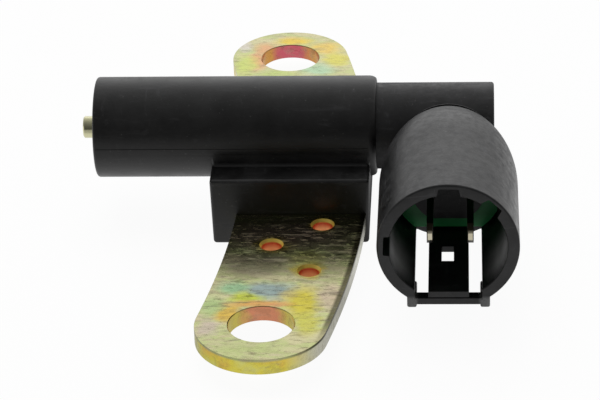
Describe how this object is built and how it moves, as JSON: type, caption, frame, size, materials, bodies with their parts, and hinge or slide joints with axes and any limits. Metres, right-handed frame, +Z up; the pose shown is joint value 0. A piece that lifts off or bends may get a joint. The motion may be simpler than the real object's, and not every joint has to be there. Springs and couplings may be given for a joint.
{
  "type": "crankshaft position sensor",
  "caption": "Inductive crankshaft position sensor: black moulded barrel with a pole pin, on a zinc-plated two-bolt plate, with a side plug socket.",
  "frame": {"origin": "centre of the moulded block's flat underside, on which the sensor stands", "axes": "+Y along the mounting plate, away from the side that the plug socket faces; +Z up out of the block; -X is the pole pin's direction"},
  "size_m": [0.0572, 0.0887, 0.0206],
  "materials": {
    "black_moulding": "satin glass-filled polyamide, lightly scuffed",
    "socket_moulding": "satin glass-filled polyamide",
    "zinc_plate": "yellow passivated zinc, iridescent, scratched",
    "bare_iron": "turned soft iron",
    "magnet_grey": "sintered, matte",
    "bobbin_natural": "natural polyester moulding",
    "enamelled_copper": "enamelled winding wire",
    "insulating_tape": "amber polyester film",
    "green_rubber": "green silicone, satin",
    "tinned_brass": "tin-plated blades"
  },
  "bodies": {
    "root": {"sensor_overmould": "black_moulding", "connector_body": "socket_moulding", "mounting_plate": "zinc_plate", "pole_pin": "bare_iron", "magnet": "magnet_grey", "yoke_disc": "bare_iron", "coil_bobbin": "bobbin_natural", "coil_winding": "enamelled_copper", "coil_tape": "insulating_tape", "coil_lead_left": "enamelled_copper", "coil_lead_right": "enamelled_copper", "seal_ring": "green_rubber", "terminal_left": "tinned_brass", "terminal_right": "tinned_brass"}
  },
  "joints": []
}
